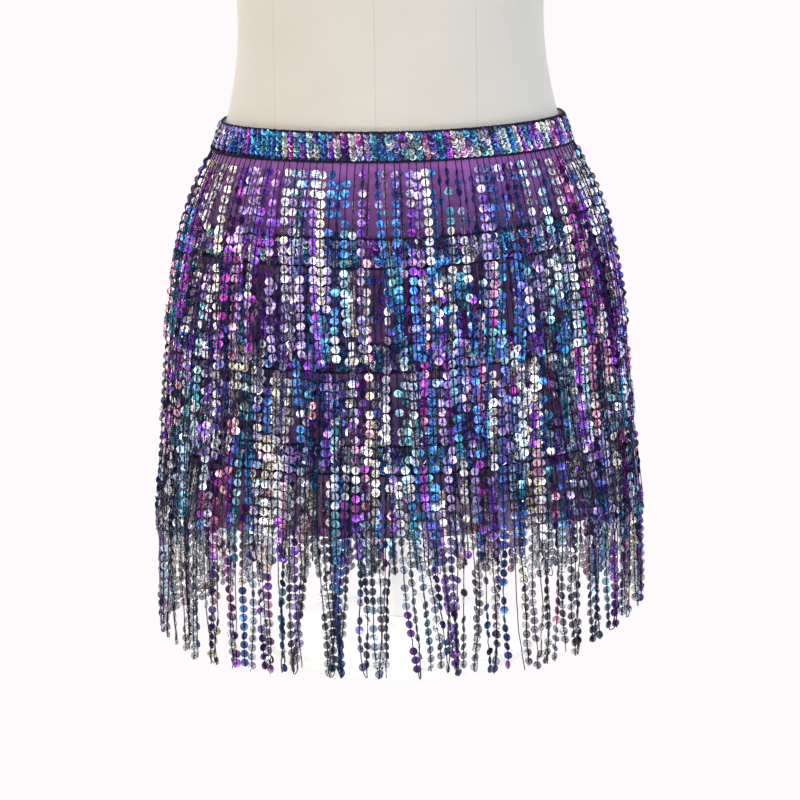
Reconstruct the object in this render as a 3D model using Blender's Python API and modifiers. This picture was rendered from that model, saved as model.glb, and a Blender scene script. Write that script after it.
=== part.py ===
"""Belly dance hip scarf with four tiers of sequin fringe, worn on a counter-top hip form.

Metres, +Z up. The origin is the centre of the foot's underside. The front faces -Y.
Heights on the form and the scarf are given as a drop below the waistband's top edge.
"""

import math
import random
from typing import NamedTuple

import bmesh
import bpy

# The scarf.
BAND_TOP_Z = 0.412
TAPE_WIDTH = 0.022
TIER_SPACING = 0.0767
CLOTH_HEM_DROP = 0.299
FRINGE_LENGTH = 0.149
LENGTH_SPREAD = 0.007
CLOTH_WALL = 0.0010
TAPE_WALL = 0.0012
RIM_RAISE = 0.0005
RIM_WIDTH = 0.0024
STRAND_WALL = 0.0014
STRAND_WIDTH = 0.0085
STRIP_HEIGHT = 0.0030
SEAM_GAP = 0.0003

# How the cloth hangs clear of the form.
EASE = 0.0009
HIP_DROP = 0.195
SIDE_FLARE = 0.085
DEPTH_FLARE = 0.045
RIPPLES = 8
RIPPLE_AT_HEM = 0.0018

# How far a strand stands off the cloth: at its root, and as it hangs over the tiers below.
STANDOFF_ROOT = 0.0009
STANDOFF_GAIN = 0.0104
STANDOFF_REACH = 0.055

# The hip form and its foot.
FORM_EDGE_ROUND = 0.006
FORM_EDGE_STEP = 0.0018
BASE_RADIUS = 0.105
BASE_THICK = 0.008
BASE_EDGE = 0.002
HUB_RADIUS = 0.021
HUB_HEIGHT = 0.014
POLE_RADIUS = 0.0125
FLANGE_RADIUS = 0.045
FLANGE_THICK = 0.005
COLLAR_RADIUS = 0.019
COLLAR_HEIGHT = 0.024

# How finely the round shapes are cut, and the seed for the strands' lengths.
STATIONS = 48
ROUND_STEPS = 1440
TURNED_SIDES = 32
SHARP_ANGLE = math.radians(40)
MERGE_WITHIN = 0.00005
SEED = 5


class Section(NamedTuple):
    """One level of the form: its half width, and its depths to the front and to the back."""

    drop: float
    half_width: float
    front: float
    back: float


class Tier(NamedTuple):
    """One tape and its fringe.

    The rises lift the tape at the wearer's left (+X) and right (-X) hip. The bends are where a
    strand bends, as falls below the tape.
    """

    left_rise: float
    right_rise: float
    strands: int
    bends: tuple


FORM_SECTIONS = (
    Section(-0.118, 0.1172, 0.0865, 0.0850),
    Section(-0.092, 0.1157, 0.0850, 0.0845),
    Section(-0.070, 0.1153, 0.0848, 0.0855),
    Section(-0.046, 0.1170, 0.0858, 0.0885),
    Section(-0.022, 0.1212, 0.0885, 0.0930),
    Section(0.000, 0.1264, 0.0920, 0.0975),
    Section(0.022, 0.1345, 0.0955, 0.1025),
    Section(0.050, 0.1460, 0.1000, 0.1090),
    Section(0.075, 0.1525, 0.1030, 0.1150),
    Section(0.100, 0.1575, 0.1050, 0.1200),
    Section(0.130, 0.1620, 0.1062, 0.1240),
    Section(0.160, 0.1655, 0.1066, 0.1260),
    Section(0.195, 0.1675, 0.1062, 0.1262),
    Section(0.230, 0.1665, 0.1045, 0.1235),
    Section(0.255, 0.1625, 0.1015, 0.1190),
)

TIERS = (
    Tier(0.003, 0.001, 56, (0.0280, 0.0620, 0.1050)),
    Tier(0.011, 0.004, 58, (0.0270, 0.0547)),
    Tier(0.014, 0.002, 60, (0.0547, 0.1220)),
    Tier(0.011, 0.003, 62, (0.0460,)),
)
RISE_POWER = 1.6

COLOURS = {
    "form_cover": ((0.80, 0.77, 0.70), 0.75, 0.0),
    "stand_paint": ((0.86, 0.86, 0.85), 0.35, 0.0),
    "mesh_cloth": ((0.16, 0.04, 0.20), 0.80, 0.0),
    "sequin_tape": ((0.14, 0.16, 0.42), 0.35, 0.5),
    "sequin_strand": ((0.30, 0.34, 0.52), 0.30, 0.6),
}


def clear_scene():
    """Removes what the scene holds, so that the script can be run again."""
    for thing in list(bpy.data.objects):
        bpy.data.objects.remove(thing, do_unlink=True)


def finish_of(slot):
    """The material of that slot."""
    found = bpy.data.materials.get(slot)
    if found:
        return found
    colour, roughness, metallic = COLOURS[slot]
    material = bpy.data.materials.new(slot)
    material.use_nodes = True
    shader = material.node_tree.nodes["Principled BSDF"]
    shader.inputs["Base Color"].default_value = (*colour, 1.0)
    shader.inputs["Roughness"].default_value = roughness
    shader.inputs["Metallic"].default_value = metallic
    return material


def form_section(drop):
    """The form's section at that drop, on a smooth curve through the listed ones."""
    last = len(FORM_SECTIONS) - 1
    drop = min(max(drop, FORM_SECTIONS[0].drop), FORM_SECTIONS[last].drop)
    here = next(k for k in range(last) if drop <= FORM_SECTIONS[k + 1].drop)
    around = [FORM_SECTIONS[min(max(k, 0), last)] for k in range(here - 1, here + 3)]
    span = around[2].drop - around[1].drop
    part = (drop - around[1].drop) / span
    square, cube = part * part, part * part * part
    shares = (2 * cube - 3 * square + 1, 3 * square - 2 * cube)
    slopes = (
        (cube - 2 * square + part) * span / (around[2].drop - around[0].drop),
        (cube - square) * span / (around[3].drop - around[1].drop),
    )
    sizes = [
        shares[0] * b + shares[1] * c + slopes[0] * (c - a) + slopes[1] * (d - b)
        for a, b, c, d in zip(*(section[1:] for section in around))
    ]
    return Section(drop, *sizes)


def cloth_section(drop):
    """The section of the cloth's inside at that drop; it hangs free below the hips."""
    on_form = form_section(min(drop, HIP_DROP))
    fall = max(0.0, min(drop, CLOTH_HEM_DROP) - HIP_DROP)
    return Section(
        drop,
        on_form.half_width + EASE + SIDE_FLARE * fall,
        on_form.front + EASE + DEPTH_FLARE * fall,
        on_form.back + EASE + DEPTH_FLARE * fall,
    )


def round_point(section, turn, out=0.0):
    """The (x, y) of that section at that turn from the front, moved out along its normal."""
    depth = section.front if math.cos(turn) > 0 else section.back
    x, y = section.half_width * math.sin(turn), -depth * math.cos(turn)
    across, along = math.sin(turn) / section.half_width, -math.cos(turn) / depth
    length = math.hypot(across, along)
    return x + out * across / length, y + out * along / length


def even_turns(count, shift=0.0):
    """Turns that divide the round of the hips into equal lengths."""
    section = cloth_section(HIP_DROP)
    step = 2 * math.pi / ROUND_STEPS
    points = [round_point(section, step * k) for k in range(ROUND_STEPS + 1)]
    lengths = [0.0]
    for here, there in zip(points, points[1:]):
        lengths.append(lengths[-1] + math.dist(here, there))
    turns = []
    k = 0
    for i in range(count):
        wanted = lengths[-1] * ((i + shift) / count)
        while lengths[k + 1] < wanted:
            k += 1
        share = (wanted - lengths[k]) / (lengths[k + 1] - lengths[k])
        turns.append(step * (k + share))
    return turns


def turn_for_length(turn):
    """How much turn a metre along the hips takes up there."""
    step = 2 * math.pi / ROUND_STEPS
    section = cloth_section(HIP_DROP)
    return step / math.dist(round_point(section, turn), round_point(section, turn + step))


TURNS = even_turns(STATIONS)


def cloth_corner(turn, drop, out):
    """A point off the cloth's inside at a station's own turn."""
    fall = max(0.0, drop - HIP_DROP) / (CLOTH_HEM_DROP - HIP_DROP)
    ripple = RIPPLE_AT_HEM * min(fall, 1.0) * math.cos(RIPPLES * turn)
    x, y = round_point(cloth_section(drop), turn, out + ripple)
    return x, y, BAND_TOP_Z - drop


def on_cloth(turn, drop, out):
    """A point off the cloth's outside, measured on the flat faces between its stations."""
    later = next((k for k, t in enumerate(TURNS) if t > turn), STATIONS)
    before = TURNS[later - 1]
    after = TURNS[later] if later < STATIONS else 2 * math.pi
    share = (turn - before) / (after - before)
    near = cloth_corner(before, drop, CLOTH_WALL + out)
    far = cloth_corner(after, drop, CLOTH_WALL + out)
    return tuple(a + share * (b - a) for a, b in zip(near, far))


def rise(tier, turn):
    """How far that tier's tape is lifted at that turn, because the scarf is worn a little askew."""
    side = math.sin(turn)
    most = TIERS[tier].left_rise if side > 0 else TIERS[tier].right_rise
    return most * abs(side) ** RISE_POWER


def tape_top(tier, turn):
    """The drop of that tier's top edge at that turn."""
    return tier * TIER_SPACING - rise(tier, turn)


def tape_bottom(tier, turn):
    """The drop of that tier's bottom edge at that turn."""
    return tape_top(tier, turn) + TAPE_WIDTH


def add_mesh(name, slot, work, collection):
    """Turns a bmesh into a smooth-shaded object with that slot's material."""
    bmesh.ops.recalc_face_normals(work, faces=work.faces)
    mesh = bpy.data.meshes.new(name)
    work.to_mesh(mesh)
    work.free()
    made = bpy.data.objects.new(name, mesh)
    made.data.materials.append(finish_of(slot))
    made.data.shade_smooth()
    made.data.set_sharp_from_angle(angle=SHARP_ANGLE)
    collection.objects.link(made)
    return made


def ring_of_outlines(outlines):
    """A bmesh of closed outlines, each joined to the next and the last to the first."""
    work = bmesh.new()
    rings = [[work.verts.new(point) for point in outline] for outline in outlines]
    for ring, following in zip(rings, rings[1:] + rings[:1]):
        for k in range(len(ring)):
            nearer, further = ring[k - 1], ring[k]
            work.faces.new((nearer, further, following[k], following[k - 1]))
    return work


def make_form(collection):
    """The hip form: rounded sections stacked up, with flat ends and softened edges."""
    top, base = FORM_SECTIONS[0].drop, FORM_SECTIONS[-1].drop
    levels = [(top, FORM_EDGE_ROUND), (top + FORM_EDGE_STEP, FORM_EDGE_STEP)]
    levels.append((top + FORM_EDGE_ROUND, 0.0))
    levels += [(section.drop, 0.0) for section in FORM_SECTIONS[1:-1]]
    levels.append((base - FORM_EDGE_ROUND, 0.0))
    levels += [(base - FORM_EDGE_STEP, FORM_EDGE_STEP), (base, FORM_EDGE_ROUND)]
    work = bmesh.new()
    rings = []
    for drop, inset in levels:
        section = form_section(drop)
        places = [round_point(section, turn, -inset) for turn in TURNS]
        rings.append([work.verts.new((x, y, BAND_TOP_Z - drop)) for x, y in places])
    for upper, lower in zip(rings, rings[1:]):
        for k in range(STATIONS):
            work.faces.new((upper[k - 1], upper[k], lower[k], lower[k - 1]))
    work.faces.new(rings[0])
    work.faces.new(rings[-1])
    return add_mesh("hip_form", "form_cover", work, collection)


def make_turned(name, slot, profile, collection):
    """A turned piece: a profile of (radius, height), run from the top down, under a Screw modifier."""
    work = bmesh.new()
    points = [work.verts.new((radius, 0.0, height)) for radius, height in profile]
    for upper, lower in zip(points, points[1:]):
        work.edges.new((upper, lower))
    mesh = bpy.data.meshes.new(name)
    work.to_mesh(mesh)
    work.free()
    made = bpy.data.objects.new(name, mesh)
    made.data.materials.append(finish_of(slot))
    collection.objects.link(made)
    screw = made.modifiers.new("turn", "SCREW")
    screw.steps = screw.render_steps = TURNED_SIDES
    screw.use_merge_vertices = True
    screw.merge_threshold = MERGE_WITHIN
    screw.use_smooth_shade = True
    return made


def make_foot(collection):
    """The foot: a round base with a hub, a short pole and the socket under the form."""
    under_form = BAND_TOP_Z - FORM_SECTIONS[-1].drop - SEAM_GAP
    pole_top = under_form - FLANGE_THICK - COLLAR_HEIGHT - SEAM_GAP
    hub_top = BASE_THICK + HUB_HEIGHT
    make_turned(
        "stand_base",
        "stand_paint",
        (
            (0.0, hub_top),
            (HUB_RADIUS - BASE_EDGE, hub_top),
            (HUB_RADIUS, hub_top - BASE_EDGE),
            (HUB_RADIUS + BASE_EDGE, BASE_THICK),
            (BASE_RADIUS - BASE_EDGE, BASE_THICK),
            (BASE_RADIUS, BASE_THICK - BASE_EDGE),
            (BASE_RADIUS, 0.0),
            (0.0, 0.0),
        ),
        collection,
    )
    make_turned(
        "form_socket",
        "stand_paint",
        (
            (0.0, under_form),
            (FLANGE_RADIUS, under_form),
            (FLANGE_RADIUS, under_form - FLANGE_THICK + BASE_EDGE),
            (FLANGE_RADIUS - BASE_EDGE, under_form - FLANGE_THICK),
            (COLLAR_RADIUS, under_form - FLANGE_THICK),
            (COLLAR_RADIUS - BASE_EDGE, under_form - FLANGE_THICK - COLLAR_HEIGHT),
            (0.0, under_form - FLANGE_THICK - COLLAR_HEIGHT),
        ),
        collection,
    )
    length = pole_top - hub_top - SEAM_GAP
    bpy.ops.mesh.primitive_cylinder_add(
        vertices=TURNED_SIDES,
        radius=POLE_RADIUS,
        depth=length,
        location=(0.0, 0.0, hub_top + SEAM_GAP + length / 2),
    )
    pole = bpy.context.active_object
    pole.name = "stand_pole"
    pole.data.materials.append(finish_of("stand_paint"))
    pole.data.shade_smooth()
    pole.data.set_sharp_from_angle(angle=SHARP_ANGLE)
    for user in list(pole.users_collection):
        user.objects.unlink(pole)
    collection.objects.link(pole)


def cloth_rows(turn):
    """The cloth's rows at that turn: both edges of each tape, a row between tapes, and the hem."""
    rows = []
    for tier in range(len(TIERS)):
        rows += [tape_top(tier, turn), tape_bottom(tier, turn)]
        below = tape_top(tier + 1, turn) if tier + 1 < len(TIERS) else CLOTH_HEM_DROP
        rows.append((tape_bottom(tier, turn) + below) / 2)
    rows[0] += SEAM_GAP
    return [*rows, CLOTH_HEM_DROP]


def make_cloth(collection):
    """The tube of stretch mesh: a thin wall that follows the form and hangs free at its hem."""
    outlines = []
    for turn in TURNS:
        rows = cloth_rows(turn)
        inside = [cloth_corner(turn, drop, 0.0) for drop in rows]
        outside = [cloth_corner(turn, drop, CLOTH_WALL) for drop in rows]
        outlines.append(inside + outside[::-1])
    return add_mesh("skirt_cloth", "mesh_cloth", ring_of_outlines(outlines), collection)


def make_tape(tier, name, collection):
    """A sequin tape with a raised cord along each edge, laid on the cloth."""
    inner = CLOTH_WALL + SEAM_GAP
    flat, raised = inner + TAPE_WALL, inner + TAPE_WALL + RIM_RAISE
    outlines = []
    for turn in TURNS:
        top, bottom = tape_top(tier, turn), tape_bottom(tier, turn)
        corners = (
            (top, inner),
            (top, raised),
            (top + RIM_WIDTH, raised),
            (top + RIM_WIDTH, flat),
            (bottom - RIM_WIDTH, flat),
            (bottom - RIM_WIDTH, raised),
            (bottom, raised),
            (bottom, inner),
        )
        outlines.append([cloth_corner(turn, drop, out) for drop, out in corners])
    return add_mesh(name, "sequin_tape", ring_of_outlines(outlines), collection)


def standoff(fall):
    """How far a strand's inner face is from the cloth, that far below its tape."""
    return STANDOFF_ROOT + STANDOFF_GAIN * (1 - math.exp(-fall / STANDOFF_REACH))


def strand_point(tier, turn, fall):
    """A point of a strand's outer face, that far below its tape's bottom edge."""
    turn = turn % (2 * math.pi)
    return on_cloth(turn, tape_bottom(tier, turn) + fall, standoff(fall) + STRAND_WALL)


def make_fringe(tier, name, collection):
    """A tier of strands that hang from one narrow strip, just under the tape."""
    draw = random.Random(SEED + tier)
    work = bmesh.new()
    strands = []
    for centre in even_turns(TIERS[tier].strands, 0.5):
        end = FRINGE_LENGTH - LENGTH_SPREAD * draw.random()
        falls = (SEAM_GAP, STRIP_HEIGHT, *TIERS[tier].bends, end)
        reach = STRAND_WIDTH / 2 * turn_for_length(centre)
        strands.append(
            [
                [work.verts.new(strand_point(tier, turn, fall)) for fall in falls]
                for turn in (centre - reach, centre + reach)
            ]
        )
    for (near, far), (following, _) in zip(strands, strands[1:] + strands[:1]):
        for k in range(len(near) - 1):
            work.faces.new((near[k], near[k + 1], far[k + 1], far[k]))
        work.faces.new((far[0], far[1], following[1], following[0]))
    made = add_mesh(name, "sequin_strand", work, collection)
    wall = made.modifiers.new("wall", "SOLIDIFY")
    wall.thickness = STRAND_WALL
    wall.offset = -1.0


def main():
    """Builds the form, its foot and the scarf."""
    clear_scene()
    collection = bpy.data.collections.new("hip_scarf_on_form")
    bpy.context.scene.collection.children.link(collection)
    make_form(collection)
    make_foot(collection)
    make_cloth(collection)
    for tier in range(len(TIERS)):
        tape = "waistband_tape" if tier == 0 else f"tier{tier + 1}_tape"
        make_tape(tier, tape, collection)
        make_fringe(tier, f"tier{tier + 1}_fringe", collection)


main()
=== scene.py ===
"""Looks of a belly dance hip scarf with four tiers of sequin fringe, on a limbless hip form.

Metres, +Z up, the wearer's front towards -Y. Every size that the solids already have is read
from model.glb: the round of the cloth, and the edges of the four tapes. Angles go round the
upright axis from the front, and grow towards +X.
"""

import logging
import math
from dataclasses import dataclass, field, replace
from enum import Enum
from typing import Optional, Sequence

import bmesh
import bpy
import numpy as np
from mathutils import Euler, Matrix, Vector
from mathutils.bvhtree import BVHTree


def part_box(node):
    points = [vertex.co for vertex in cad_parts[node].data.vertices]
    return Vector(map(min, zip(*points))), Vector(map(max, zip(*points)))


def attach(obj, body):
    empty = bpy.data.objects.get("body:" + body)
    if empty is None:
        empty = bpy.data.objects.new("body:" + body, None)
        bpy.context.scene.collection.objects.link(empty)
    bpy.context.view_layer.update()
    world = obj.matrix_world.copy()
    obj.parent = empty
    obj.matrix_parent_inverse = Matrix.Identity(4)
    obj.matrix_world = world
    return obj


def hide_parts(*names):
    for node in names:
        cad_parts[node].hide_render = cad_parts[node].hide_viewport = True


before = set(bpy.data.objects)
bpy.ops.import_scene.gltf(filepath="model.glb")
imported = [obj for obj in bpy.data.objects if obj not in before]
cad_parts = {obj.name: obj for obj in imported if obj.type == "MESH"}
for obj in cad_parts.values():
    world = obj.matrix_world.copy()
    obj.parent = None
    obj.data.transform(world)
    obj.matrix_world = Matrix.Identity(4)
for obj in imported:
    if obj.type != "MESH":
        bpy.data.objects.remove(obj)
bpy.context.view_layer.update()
LOG = logging.getLogger("hip_scarf")

FULL_TURN = 2 * math.pi
MM = 0.001
UP = np.array([0.0, 0.0, 1.0])
CREASE = math.radians(50)
WELD = 0.00002
MEAN_REACH = 0.14


def srgb(red: float, green: float, blue: float) -> tuple[float, float, float]:
    """Turns a colour as the eye names it, 0 to 255, into linear light."""
    shares = (c / 255 for c in (red, green, blue))
    return tuple(c / 12.92 if c <= 0.04045 else ((c + 0.055) / 1.055) ** 2.4 for c in shares)


class Film(Enum):
    """The colours of the sequin film in the order in which its dye runs, with how long each lasts."""

    SILVER = (srgb(205, 203, 222), 0.21)
    CREAM = (srgb(246, 228, 206), 0.11)
    BLUSH = (srgb(236, 164, 190), 0.05)
    MAGENTA = (srgb(152, 54, 146), 0.07)
    VIOLET = (srgb(118, 64, 180), 0.10)
    LILAC = (srgb(176, 156, 214), 0.11)
    DEEP_BLUE = (srgb(64, 72, 164), 0.08)
    AZURE = (srgb(62, 124, 200), 0.12)
    TEAL = (srgb(54, 130, 156), 0.07)
    AQUA = (srgb(128, 190, 208), 0.05)
    ICE = (srgb(180, 197, 236), 0.10)

    @property
    def tint(self) -> np.ndarray:
        """The film's colour in linear light."""
        return np.array(self.value[0])

    @property
    def share(self) -> float:
        """How large a part of the film has this colour."""
        return self.value[1]

    @property
    def pale(self) -> bool:
        """Whether the film is nearly colourless."""
        return self in (Film.SILVER, Film.CREAM, Film.ICE)


class Graph:
    """A shader node tree that is wired from left to right."""

    def __init__(self, tree: bpy.types.NodeTree) -> None:
        """Empties the tree."""
        self.tree = tree
        tree.nodes.clear()

    def add(self, kind: str, settings: Optional[dict] = None, **inputs: object) -> bpy.types.Node:
        """Adds a node and sets or links its inputs.

        Args:
            kind: The node's type name without the leading ShaderNode.
            settings: Attributes of the node itself.
            inputs: Input values or sockets, by input name with spaces as underscores.

        Returns:
            The new node.
        """
        node = self.tree.nodes.new("ShaderNode" + kind)
        for name, value in (settings or {}).items():
            setattr(node, name, value)
        for name, value in inputs.items():
            self.feed(node, name.replace("_", " "), value)
        return node

    def feed(self, node: bpy.types.Node, name: str, value: object) -> None:
        """Links a socket to an enabled input of that name, or sets it.

        Args:
            node: The node that takes the value.
            name: The input's name, or its number as text.
            value: A socket to link, or a plain value.
        """
        if name.isdigit():
            target = node.inputs[int(name)]
        else:
            target = next(s for s in node.inputs if s.name == name and s.enabled)
        if isinstance(value, bpy.types.NodeSocket):
            self.tree.links.new(value, target)
        else:
            target.default_value = value

    def math(self, operation: str, first: object, second: object = 0.0) -> bpy.types.NodeSocket:
        """Adds a Math node.

        Args:
            operation: The operation's name.
            first: The first value or socket.
            second: The second value or socket.

        Returns:
            The result's socket.
        """
        node = self.tree.nodes.new("ShaderNodeMath")
        node.operation = operation
        self.feed(node, "0", first)
        self.feed(node, "1", second)
        return node.outputs[0]

    def ramp(
        self, value: object, start: float, end: float, low: float, high: float
    ) -> bpy.types.NodeSocket:
        """Maps one range onto another, and holds what lies beyond it."""
        limits = {"From_Min": start, "From_Max": end, "To_Min": low, "To_Max": high}
        return self.add("MapRange", Value=value, **limits).outputs[0]

    def place(self) -> bpy.types.NodeSocket:
        """Adds the piece's own coordinates."""
        return self.add("TexCoord").outputs["Object"]

    def noise(self, place: object, scale: float, detail: float) -> bpy.types.NodeSocket:
        """Adds cloudy noise, 0 to 1."""
        return self.add("TexNoise", Vector=place, Scale=scale, Detail=detail).outputs[0]

    def bump(self, strength: float, depth: float, height: object) -> bpy.types.NodeSocket:
        """Adds small relief."""
        return self.add("Bump", Strength=strength, Distance=depth, Height=height).outputs[0]

    def mix(self, share: object, first: object, second: object) -> bpy.types.NodeSocket:
        """Mixes two shaders.

        Args:
            share: How much of the second shader is used.
            first: The first shader's node.
            second: The second shader's node.

        Returns:
            The mixed shader's socket.
        """
        node = self.tree.nodes.new("ShaderNodeMixShader")
        self.feed(node, "0", share)
        self.feed(node, "1", first.outputs[0])
        self.feed(node, "2", second.outputs[0])
        return node.outputs[0]

    def blend(self, how: str, share: object, first: object, second: object) -> bpy.types.NodeSocket:
        """Blends two colours.

        Args:
            how: The blend type.
            share: How much of the second colour is used.
            first: The first colour or socket.
            second: The second colour or socket.

        Returns:
            The blended colour's socket.
        """
        node = self.tree.nodes.new("ShaderNodeMix")
        node.data_type = "RGBA"
        node.blend_type = how
        self.feed(node, "Factor", share)
        self.feed(node, "A", first)
        self.feed(node, "B", second)
        return next(s for s in node.outputs if s.enabled)


def new_group(name: str, inputs: dict, outputs: dict) -> tuple[Graph, bpy.types.Node, bpy.types.Node]:
    """Starts a shader node group.

    Args:
        name: The group's name.
        inputs: Input names with their defaults; a colour has four parts.
        outputs: Output names with their socket types.

    Returns:
        The group's graph, and its input and output nodes.
    """
    tree = bpy.data.node_groups.new(name, "ShaderNodeTree")
    graph = Graph(tree)
    for label, default in inputs.items():
        kind = "NodeSocketColor" if isinstance(default, tuple) else "NodeSocketFloat"
        socket = tree.interface.new_socket(name=label, in_out="INPUT", socket_type=kind)
        socket.default_value = default
    for label, kind in outputs.items():
        tree.interface.new_socket(name=label, in_out="OUTPUT", socket_type=kind)
    return graph, tree.nodes.new("NodeGroupInput"), tree.nodes.new("NodeGroupOutput")


def glitter_group() -> bpy.types.NodeTree:
    """The glitter of sequin film: fine flakes that differ in lie, and in brightness and hue, which are
    painted glints.

    Returns:
        The group, with the outputs Color, Roughness and Height.
    """
    graph, given, result = new_group(
        "film_glitter",
        {"Tint": (0.5, 0.5, 0.5, 1.0), "Flake": 0.0007, "Depth": 0.5, "Hue": 0.06},
        {"Color": "NodeSocketColor", "Roughness": "NodeSocketFloat", "Height": "NodeSocketFloat"},
    )
    place = graph.place()
    density = graph.math("DIVIDE", 1.0, given.outputs["Flake"])
    flakes = graph.add("TexVoronoi", Vector=place, Scale=density)
    chance = graph.add("SeparateColor", Color=flakes.outputs["Color"]).outputs
    # Painted glints: each flake is made lighter or darker and its hue is swung, as if it caught the
    # light.
    bright = graph.math("MULTIPLY", graph.math("SUBTRACT", chance[0], 0.5), given.outputs["Depth"])
    swing = graph.math("MULTIPLY", graph.math("SUBTRACT", chance[1], 0.5), given.outputs["Hue"])
    shifted = graph.add(
        "HueSaturation",
        Hue=graph.math("ADD", 0.5, swing),
        Saturation=1.0,
        Value=graph.math("ADD", 1.0, bright),
        Color=given.outputs["Tint"],
    )
    graph.feed(result, "Color", shifted.outputs[0])
    graph.feed(result, "Roughness", graph.ramp(chance[2], 0.0, 1.0, 0.12, 0.38))
    graph.feed(result, "Height", chance[1])
    return graph.tree


def weave_group() -> bpy.types.NodeTree:
    """A plain weave or fine net: two sets of threads that cross, with a little unevenness.

    Returns:
        The group, with the outputs Shade and Height.
    """
    graph, given, result = new_group(
        "cloth_weave",
        {"Pitch": 0.001, "Uneven": 0.3},
        {"Shade": "NodeSocketFloat", "Height": "NodeSocketFloat"},
    )
    place = graph.place()
    parts = graph.add("SeparateXYZ", Vector=place).outputs
    around = graph.math("MULTIPLY", graph.math("ARCTAN2", parts[0], parts[1]), MEAN_REACH)
    turns = graph.math("DIVIDE", FULL_TURN, given.outputs["Pitch"])
    across = graph.math("SINE", graph.math("MULTIPLY", around, turns))
    along = graph.math("SINE", graph.math("MULTIPLY", parts[2], turns))
    crossed = graph.math("MULTIPLY", across, along)
    uneven = graph.math("SUBTRACT", graph.noise(place, 300.0, 4.0), 0.5)
    mixed = graph.math("MULTIPLY", uneven, given.outputs["Uneven"])
    height = graph.math("ADD", graph.ramp(crossed, 0.0, 1.0, 0.5, 1.0), mixed)
    graph.feed(result, "Height", height)
    graph.feed(result, "Shade", graph.math("ADD", 1.0, graph.math("MULTIPLY", mixed, 0.5)))
    return graph.tree


def new_material(name: str) -> tuple[bpy.types.Material, Graph]:
    """Starts a material with an empty node tree.

    Args:
        name: The material's name.

    Returns:
        The material and its graph.
    """
    material = bpy.data.materials.new(name)
    material.use_nodes = True
    return material, Graph(material.node_tree)


def add_group(graph: Graph, group: bpy.types.NodeTree, **inputs: object) -> bpy.types.Node:
    """Places a node group in a material.

    Args:
        graph: The material's graph.
        group: The group.
        inputs: The group's inputs, by name.

    Returns:
        The group's node.
    """
    node = graph.tree.nodes.new("ShaderNodeGroup")
    node.node_tree = group
    for name, value in inputs.items():
        graph.feed(node, name, value)
    return node


def set_surface(graph: Graph, **inputs: object) -> None:
    """Gives a material its shader, whose inputs are named with spaces as underscores."""
    shader = graph.add("BsdfPrincipled", **inputs)
    graph.add("OutputMaterial", Surface=shader.outputs[0])


@dataclass(frozen=True)
class SequinFilm:
    """Iridescent metallic film. Its colour, with the painted reflection on its halves, lies in the
    piece's own attribute, and painted shade darkens each rim.
    """

    name: str
    flake: float
    depth: float
    hue: float
    hole: float
    hole_blur: float = 0.06
    hole_tint: tuple[float, float, float] = srgb(22, 20, 38)
    # The painted shade round each rim: where it starts, how strong it is and its colour.
    rim_shade_from: float = 0.88
    rim_shade_share: float = 0.35
    rim_shade_tint: tuple[float, float, float] = srgb(70, 70, 100)
    metallic: float = 0.9

    def make(self, glitter: bpy.types.NodeTree) -> bpy.types.Material:
        """Makes the material.

        Args:
            glitter: The shared glitter group.

        Returns:
            The material.
        """
        material, graph = new_material(self.name)
        given = graph.add("Attribute", {"attribute_name": "tint"}).outputs
        lie = {"Flake": self.flake, "Depth": self.depth, "Hue": self.hue}
        flakes = add_group(graph, glitter, Tint=given["Color"], **lie).outputs
        # Painted shade: a darker line round the rim, as the gaps between sequins are in shadow.
        rim_shade = graph.ramp(given["Alpha"], self.rim_shade_from, 1.0, 0.0, self.rim_shade_share)
        rim_shaded = graph.blend("MIX", rim_shade, flakes["Color"], (*self.rim_shade_tint, 1.0))
        inner = graph.ramp(given["Alpha"], self.hole, self.hole + self.hole_blur, 1.0, 0.0)
        set_surface(
            graph,
            Base_Color=graph.blend("MIX", inner, rim_shaded, (*self.hole_tint, 1.0)),
            Metallic=self.metallic,
            Roughness=flakes["Roughness"],
            Normal=graph.bump(0.5, 0.15 * MM, flakes["Height"]),
        )
        return material


@dataclass(frozen=True)
class Yarn:
    """Matt thread with a little fuzz, with painted shade in its hollows and painted light where the fuzz
    stands up.
    """

    name: str
    colour: tuple[float, float, float]
    roughness: float = 0.85
    fuzz_scale: float = 1400.0
    # How much lighter the raised fuzz is painted.
    fuzz_highlight_gain: float = 1.8

    def make(self) -> bpy.types.Material:
        """Makes the material.

        Returns:
            The material.
        """
        material, graph = new_material(self.name)
        fuzz = graph.noise(graph.place(), self.fuzz_scale, 3.0)
        # Painted shade: the noise that raises the fuzz also lightens it, so the hollows look shaded.
        light = tuple(min(1.0, self.fuzz_highlight_gain * c) for c in self.colour)
        set_surface(
            graph,
            Base_Color=graph.blend("MIX", fuzz, (*self.colour, 1.0), (*light, 1.0)),
            Roughness=self.roughness,
            Specular_IOR_Level=0.2,
            Normal=graph.bump(0.6, 0.3 * MM, fuzz),
        )
        return material


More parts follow.
